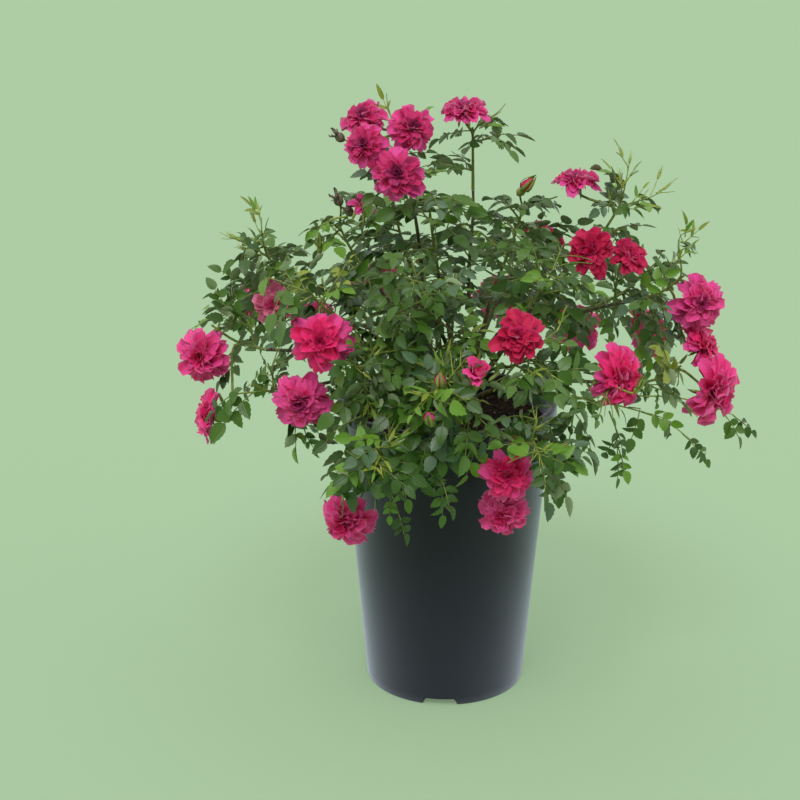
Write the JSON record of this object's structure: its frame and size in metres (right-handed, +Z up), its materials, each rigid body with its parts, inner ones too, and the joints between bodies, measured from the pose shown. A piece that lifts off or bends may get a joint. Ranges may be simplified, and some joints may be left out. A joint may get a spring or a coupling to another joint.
{
  "type": "potted miniature rose bush",
  "caption": "Miniature rose bush in flower, with dense green foliage and double crimson blooms, in a round dark plastic nursery pot.",
  "frame": {"origin": "middle of the underside of the pot, on its flat foot pad", "axes": "+Z up along the pot's axis, -Y to the front as in the picture, +X to the right"},
  "size_m": [0.3537, 0.2911, 0.3829],
  "materials": {
    "pot": "satin",
    "soil": "matte",
    "bark": "satin",
    "foliage": "satin"
  },
  "bodies": {
    "root": {"pot": "pot", "soil": "soil", "stem": "bark", "bough_upper_mid": "bark", "bough_upper_right": "bark", "bough_upper_left": "bark", "bough_high_right": "bark", "bough_low_right": "bark", "bough_far_left": "bark", "bough_front_left": "bark", "bough_centre_right": "bark", "bough_rim_mid": "bark", "bough_inner_mid": "bark", "bough_inner_back": "bark", "bough_back_left": "bark", "bough_back_right": "bark", "bough_top_left": "bark", "bough_top_mid": "bark", "bough_front_mid": "bark", "bough_inner_left": "bark", "bough_front_right": "bark", "bough_high_left": "bark", "bough_far_right": "bark", "bough_near_right": "bark", "bough_low_left": "bark", "bough_rim_left": "bark", "bough_rim_right": "bark", "bough_back_far_left": "bark", "bough_back_far_right": "bark", "bough_back_top_left": "bark", "bough_back_top_right": "bark", "foliage_upper_mid": "foliage", "foliage_upper_right": "foliage", "foliage_upper_left": "foliage", "foliage_high_right": "foliage", "foliage_low_right": "foliage", "foliage_far_left": "foliage", "foliage_front_left": "foliage", "foliage_centre_right": "foliage", "foliage_rim_mid": "foliage", "foliage_inner_mid": "foliage", "foliage_inner_back": "foliage", "foliage_back_left": "foliage", "foliage_back_right": "foliage", "foliage_top_left": "foliage", "foliage_top_mid": "foliage", "foliage_front_mid": "foliage", "foliage_inner_left": "foliage", "foliage_front_right": "foliage", "foliage_high_left": "foliage", "foliage_far_right": "foliage", "foliage_near_right": "foliage", "foliage_low_left": "foliage", "foliage_rim_left": "foliage", "foliage_rim_right": "foliage", "foliage_back_far_left": "foliage", "foliage_back_far_right": "foliage", "foliage_back_top_left": "foliage", "foliage_back_top_right": "foliage"}
  },
  "joints": []
}
